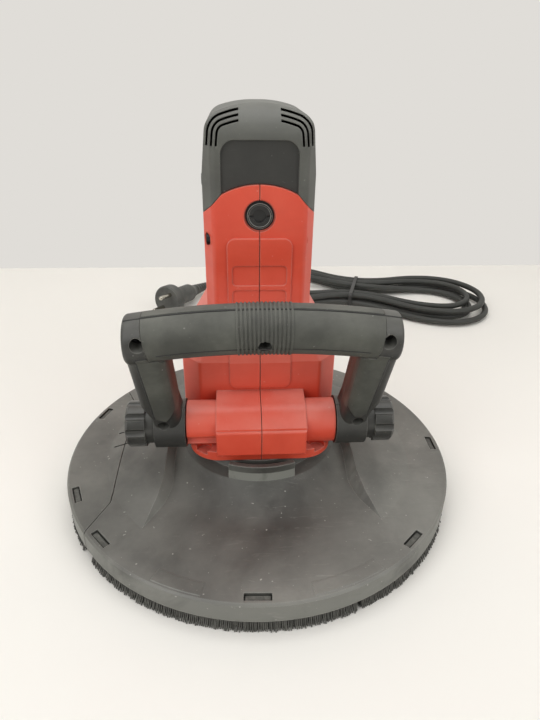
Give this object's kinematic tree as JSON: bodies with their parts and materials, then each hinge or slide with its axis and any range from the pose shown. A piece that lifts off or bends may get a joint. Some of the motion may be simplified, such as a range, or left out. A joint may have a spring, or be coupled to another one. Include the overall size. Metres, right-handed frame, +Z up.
{
  "type": "drywall sander",
  "caption": "Hand-held disc sander for walls: bristle-skirted dust hood with an edge segment, upright geared motor body, tilting D-handle with clamp knobs, and a tied mains lead with plug.",
  "frame": {"origin": "middle of the sanding disc's lower face, on the spindle axis", "axes": "+Z up along the spindle, -Y towards the D-handle, +X to the right seen from the handle side"},
  "size_m": [0.4297, 0.5487, 0.2464],
  "materials": {
    "red_plastic": "satin moulded plastic",
    "dark_plastic": "fine-textured moulded plastic",
    "hood_plastic": "dusty moulded plastic",
    "black_plastic": "moulded plastic",
    "grip_rubber": "soft-touch rubber",
    "bristle": "nylon bristles in a plastic strip",
    "cord_rubber": "rubber sheath",
    "steel": "machined",
    "screw_steel": "blackened",
    "gear_steel": "hardened",
    "lamination": "stamped laminations",
    "copper": "enamelled copper wire",
    "aluminium": "die cast",
    "foam": "closed-cell foam",
    "abrasive": "coated abrasive",
    "carbon": "pressed carbon",
    "plug_plastic": "moulded plastic",
    "tie_wire": "coated tie",
    "nickel": "nickel plated"
  },
  "bodies": {
    "housing": {"housing_left": "red_plastic", "housing_right": "red_plastic", "housing_screws": "screw_steel", "end_cap": "dark_plastic", "end_cap_screws": "screw_steel", "brush_caps": "black_plastic", "brush_holders": "copper", "carbon_brushes": "carbon", "brush_springs": "steel", "clamp_studs": "steel", "gear_plate": "aluminium", "spindle_housing": "aluminium", "stator_core": "lamination", "field_coils": "copper", "spindle_bearing_lower": "steel", "spindle_bearing_upper": "steel", "idler_bearings": "steel", "motor_bearing_lower": "steel", "motor_bearing_upper": "steel", "switch_body": "black_plastic", "speed_module": "black_plastic", "shroud": "hood_plastic", "shroud_clamp": "aluminium", "shroud_screws": "screw_steel", "brush_strip_front_left": "bristle", "brush_strip_front_right": "bristle", "brush_strip_right": "bristle", "brush_strip_rear": "bristle", "dust_port": "hood_plastic", "cord_gland": "black_plastic", "cord_lead": "cord_rubber", "cord_hank": "cord_rubber", "cord_tail": "cord_rubber", "cord_tie": "tie_wire", "plug_body": "plug_plastic", "plug_pins": "nickel"},
    "spindle_set": {"spindle": "steel", "spindle_gear": "gear_steel", "backing_plate": "aluminium", "foam_pad": "foam", "sanding_disc": "abrasive", "pad_bolt": "screw_steel"},
    "idler": {"idler_shaft": "gear_steel", "idler_gear": "gear_steel"},
    "armature": {"armature_shaft": "steel", "armature_core": "lamination", "armature_windings": "copper", "commutator": "copper", "fan": "black_plastic"},
    "handle": {"handle_front": "dark_plastic", "handle_rear": "dark_plastic", "handle_grip": "grip_rubber", "handle_screws": "screw_steel"},
    "knob_left": {"knob_left": "dark_plastic"},
    "knob_right": {"knob_right": "dark_plastic"},
    "segment": {"shroud_segment": "hood_plastic", "brush_strip_segment": "bristle"},
    "rocker": {"switch_rocker": "black_plastic"},
    "dial": {"speed_dial": "black_plastic"}
  },
  "joints": [
    {"name": "spindle_spin", "type": "hinge", "parent": "housing", "child": "spindle_set", "pos_m": [0, 0, 0], "axis": [0, 0, 1], "continuous": true},
    {"name": "idler_spin", "type": "hinge", "parent": "housing", "child": "idler", "pos_m": [0.02228, 0.02009, 0.074], "axis": [0, 0, 1], "continuous": true},
    {"name": "armature_spin", "type": "hinge", "parent": "housing", "child": "armature", "pos_m": [0, 0.029, 0.104], "axis": [0, 0, 1], "continuous": true},
    {"name": "handle_tilt", "type": "hinge", "parent": "housing", "child": "handle", "pos_m": [0, -0.0285, 0.064], "axis": [1, 0, 0], "range_deg": [-20, 60]},
    {"name": "knob_left_turn", "type": "hinge", "parent": "housing", "child": "knob_left", "pos_m": [0, -0.0285, 0.064], "axis": [-1, 0, 0], "range_deg": [0, 360]},
    {"name": "knob_right_turn", "type": "hinge", "parent": "housing", "child": "knob_right", "pos_m": [0, -0.0285, 0.064], "axis": [1, 0, 0], "range_deg": [0, 360]},
    {"name": "segment_slide", "type": "slide", "parent": "housing", "child": "segment", "axis": [-1, 0, 0], "range_m": [0, 0.03]},
    {"name": "rocker_tip", "type": "hinge", "parent": "housing", "child": "rocker", "pos_m": [-0.012, 0.054, 0.2181], "axis": [1, 0, 0], "range_deg": [-18, 0]},
    {"name": "dial_turn", "type": "hinge", "parent": "housing", "child": "dial", "pos_m": [0.013, 0.06, 0.2181], "axis": [0, 1, 0], "range_deg": [0, 270]}
  ],
  "couplings": [
    {"joint": "idler_spin", "follows": "spindle_spin", "ratio": -3},
    {"joint": "armature_spin", "follows": "spindle_spin", "ratio": 9}
  ]
}
